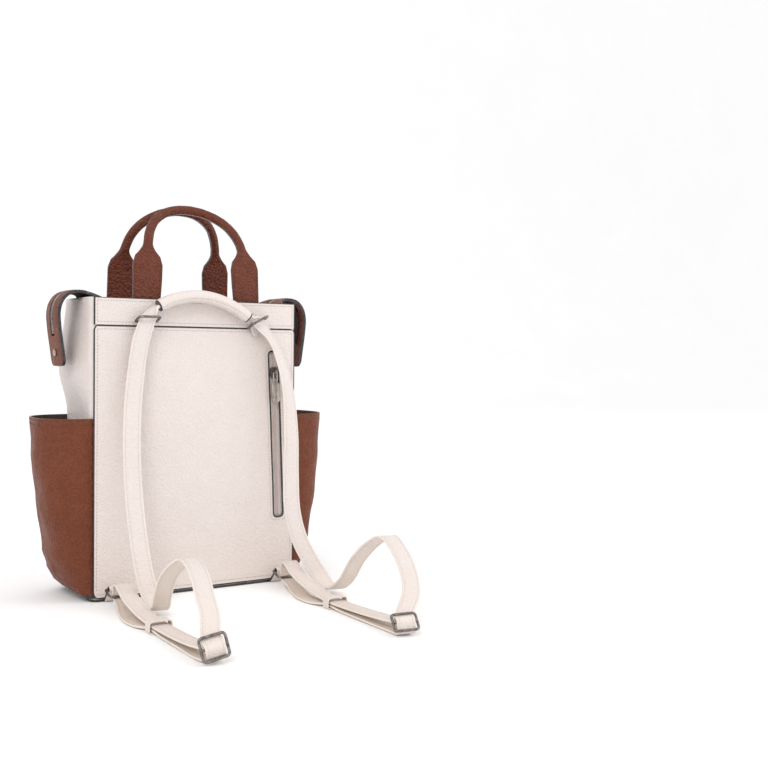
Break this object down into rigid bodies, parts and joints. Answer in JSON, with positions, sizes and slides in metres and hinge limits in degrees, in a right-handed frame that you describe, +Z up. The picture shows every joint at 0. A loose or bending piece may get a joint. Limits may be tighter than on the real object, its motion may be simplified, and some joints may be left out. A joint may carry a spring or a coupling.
{
  "type": "convertible backpack",
  "caption": "Tall leather-look backpack with open side pockets, overhanging zip top, rolled carry handles, padded grip and shoulder straps run through rings and buckles.",
  "frame": {"origin": "middle of the base, on the surface the bag stands on", "axes": "+Z up; +X to the bag's right seen from the strap side; the straps lie towards -Y"},
  "size_m": [0.3478, 0.3995, 0.443],
  "materials": {
    "cream_leather": "pebbled, semi-matt, dark painted edges",
    "brown_leather": "pebbled, semi-gloss, dark painted edges",
    "pale_zip_tape": "woven tape with a nylon coil",
    "dark_zip_tape": "woven tape with metal teeth",
    "dark_metal": "polished gunmetal plating"
  },
  "bodies": {
    "bag": {"body_gusset": "cream_leather", "base_panel": "cream_leather", "back_panel": "cream_leather", "back_band": "cream_leather", "front_panel": "cream_leather", "side_pocket_left": "brown_leather", "side_pocket_right": "brown_leather", "zip_strip": "brown_leather", "top_zip_chain": "dark_zip_tape", "rivet_left": "dark_metal", "rivet_right": "dark_metal", "top_zip_slider": "dark_metal", "handle_back": "brown_leather", "handle_front": "brown_leather", "top_ring_left": "dark_metal", "top_ring_right": "dark_metal", "base_ring_left": "dark_metal", "base_ring_right": "dark_metal", "buckle_left": "dark_metal", "buckle_right": "dark_metal", "top_ring_tab_left": "cream_leather", "top_ring_tab_right": "cream_leather", "base_ring_tab_left": "cream_leather", "base_ring_tab_right": "cream_leather", "grip": "cream_leather", "strap_left": "cream_leather", "strap_right": "cream_leather", "keeper_left": "cream_leather", "keeper_right": "cream_leather", "pocket_zip_tape": "pale_zip_tape", "pocket_zip_slider": "dark_metal"},
    "pull": {"pocket_zip_pull": "dark_metal"}
  },
  "joints": [
    {"name": "pull_hinge", "type": "hinge", "parent": "bag", "child": "pull", "pos_m": [0.09468, -0.05389, 0.24971], "axis": [-0.999, 0, -0.0454], "range_deg": [0, 20]}
  ]
}
